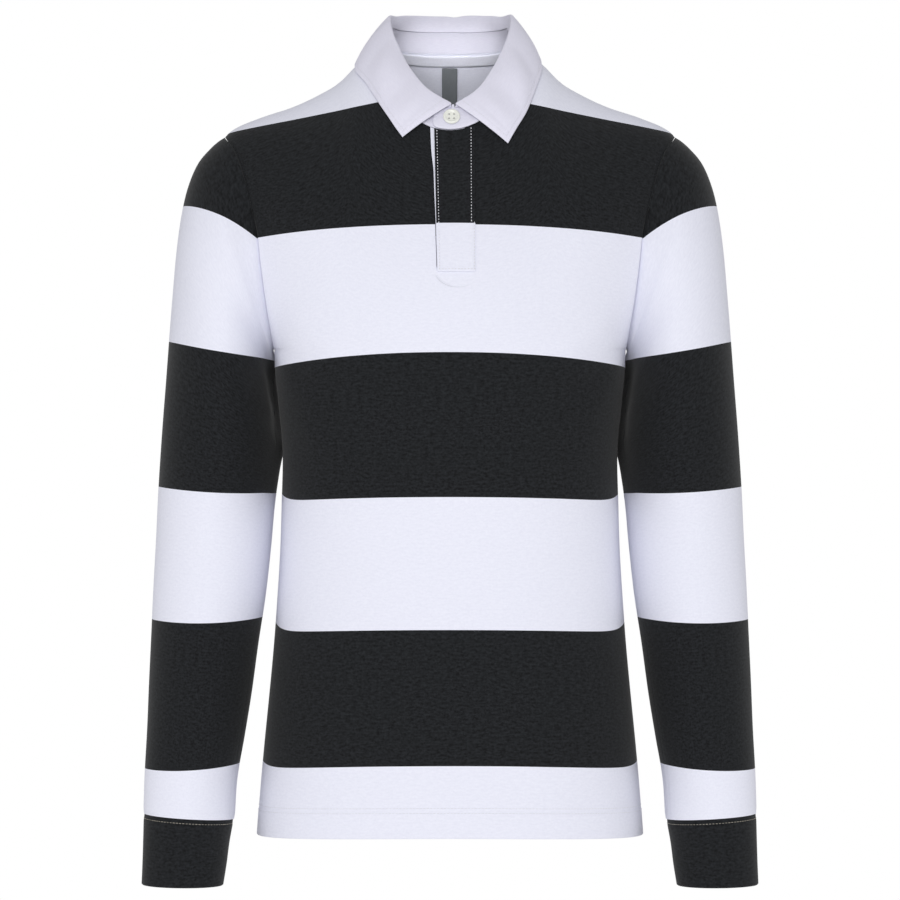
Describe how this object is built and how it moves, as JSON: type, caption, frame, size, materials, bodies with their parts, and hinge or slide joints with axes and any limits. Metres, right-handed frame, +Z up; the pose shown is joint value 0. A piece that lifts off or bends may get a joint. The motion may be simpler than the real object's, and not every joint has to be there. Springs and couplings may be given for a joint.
{
  "type": "long-sleeve polo shirt",
  "caption": "Long-sleeve polo shirt with broad stripes, half placket, twill collar and knit cuffs, hollow as if worn.",
  "frame": {"origin": "between the shoulders, in the plane of the shoulder seams, where the wearer carries the shirt", "axes": "+Z up, the front faces -Y, +X is the viewer's right of someone who looks at the front"},
  "size_m": [0.55, 0.2349, 0.784],
  "materials": {
    "striped_jersey": "matt cotton jersey, black and white stripes",
    "dark_knit": "matt doubled knit",
    "collar_twill": "fine cotton twill",
    "tape_cloth": "woven tape",
    "label_cloth": "plain woven label",
    "button_resin": "semi-gloss"
  },
  "bodies": {
    "root": {"front_panel": "striped_jersey", "back_panel": "striped_jersey", "sleeve_left": "striped_jersey", "sleeve_right": "striped_jersey", "placket_upper": "striped_jersey", "placket_under": "striped_jersey", "cuff_left": "dark_knit", "cuff_right": "dark_knit", "collar_stand": "collar_twill", "collar_leaf": "collar_twill", "neck_tape": "tape_cloth", "label": "label_cloth", "button_neck": "button_resin"}
  },
  "joints": []
}
